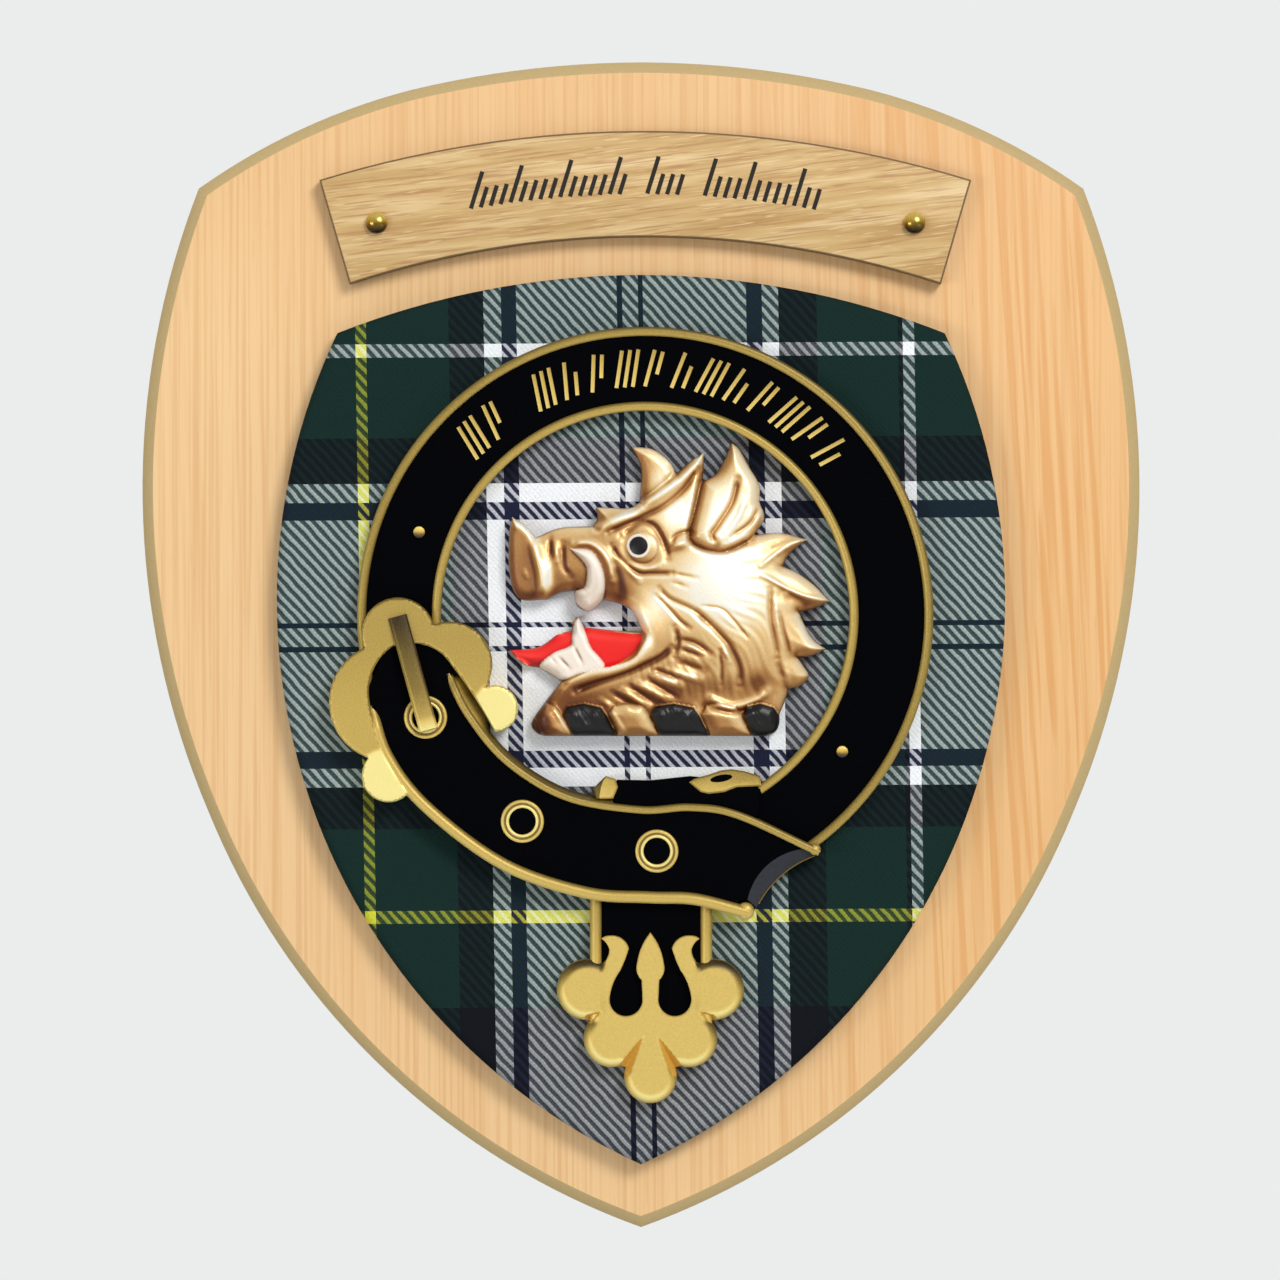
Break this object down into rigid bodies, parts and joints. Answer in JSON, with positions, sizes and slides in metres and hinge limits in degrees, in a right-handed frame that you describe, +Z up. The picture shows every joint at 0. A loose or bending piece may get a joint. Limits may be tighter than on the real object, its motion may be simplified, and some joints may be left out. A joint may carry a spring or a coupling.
{
  "type": "wall plaque",
  "caption": "Shield-shaped wooden wall plaque with a cloth-covered panel, a cast strap-and-buckle badge round a boar's head, and a pinned wooden name strip.",
  "frame": {"origin": "on the wall plane, at the middle of the board's flat back face", "axes": "+Z up the plaque, +Y into the wall, the front facing -Y"},
  "size_m": [0.165, 0.0221, 0.1928],
  "materials": {
    "board_wood": "light pine with a satin lacquer; its front chamfer and edge are painted drab gold",
    "panel_board": "plain board under the cloth",
    "tartan_weave": "twill tartan in dark green, black, navy and white with a yellow overcheck",
    "strip_wood": "light oak with a satin lacquer and black printed strokes",
    "pin_brass": "polished, slightly dulled",
    "badge_paint": "satin black strap between gold-painted rims, with a gold-painted buckle and tip",
    "head_gilt": "gold paint with a brown wash in the hollows, red tongue, cream tusks and black wreath bands"
  },
  "bodies": {
    "root": {"back_board": "board_wood", "inner_panel": "panel_board", "tartan_cloth": "tartan_weave", "name_scroll": "strip_wood", "scroll_pin_left": "pin_brass", "scroll_pin_right": "pin_brass", "strap_badge": "badge_paint", "badge_pin_left": "pin_brass", "badge_pin_right": "pin_brass", "boar_head": "head_gilt"}
  },
  "joints": []
}
